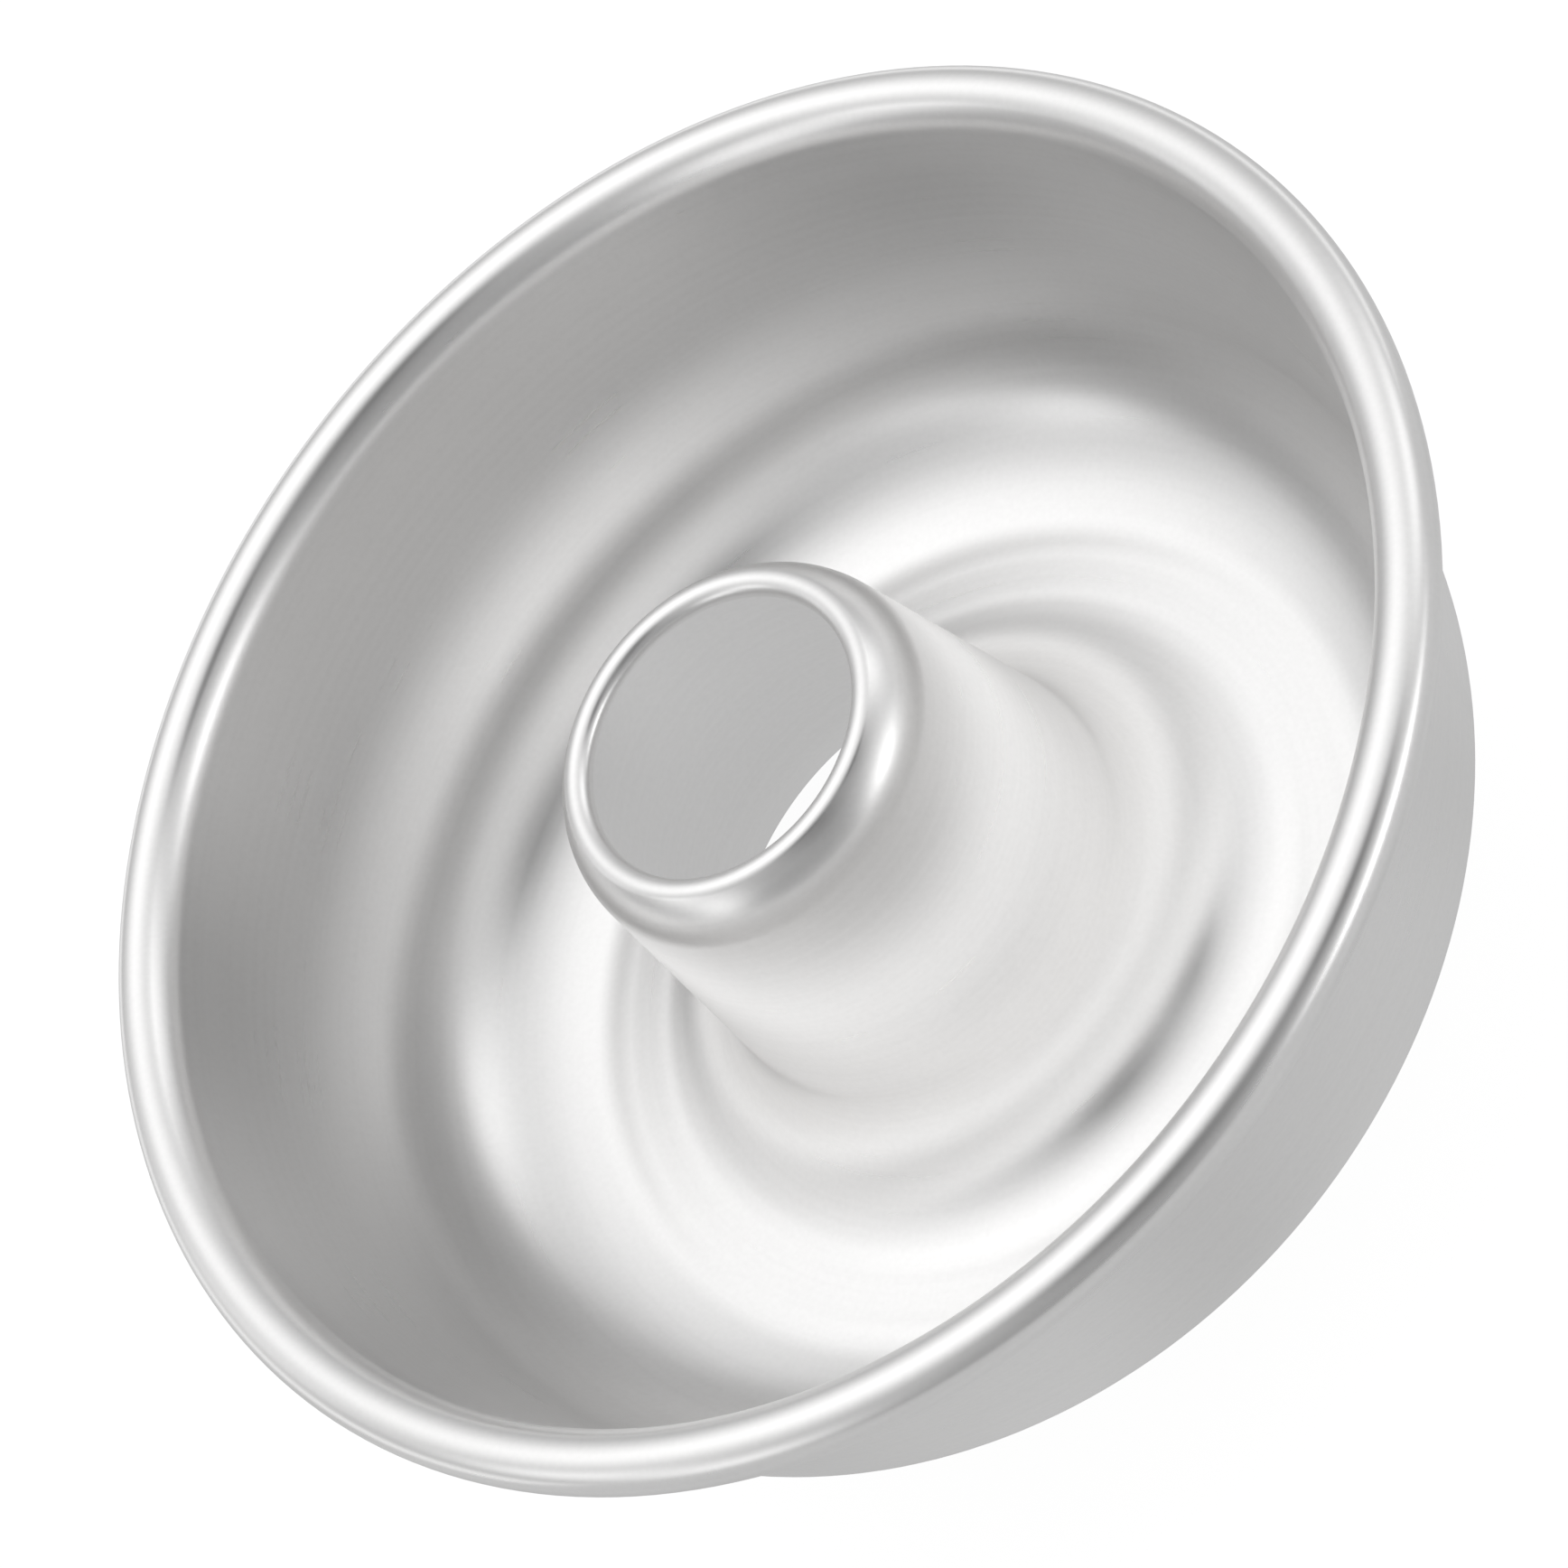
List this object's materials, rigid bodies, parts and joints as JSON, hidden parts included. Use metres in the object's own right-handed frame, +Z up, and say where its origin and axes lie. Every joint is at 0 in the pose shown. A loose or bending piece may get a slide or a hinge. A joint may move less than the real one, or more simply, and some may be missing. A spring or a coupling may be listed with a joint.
{
  "type": "angel food cake pan",
  "caption": "Round tube cake pan in satin aluminium: flared wall, wide rounded base corner, wired rolled rim and an open conical centre tube standing just above the rim.",
  "frame": {"origin": "on the pan's axis, in the flat underside that it stands on", "axes": "+Z up along the pan's axis, out of the open top; X and Y lie in the plane that it stands on"},
  "size_m": [0.19, 0.19, 0.0634],
  "materials": {
    "satin_aluminium": "satin anodised, with fine circular spinning lines",
    "steel_wire": "plain drawn wire, hidden inside the rolled rim"
  },
  "bodies": {
    "root": {"pan_shell": "satin_aluminium", "rim_wire": "steel_wire"}
  },
  "joints": []
}
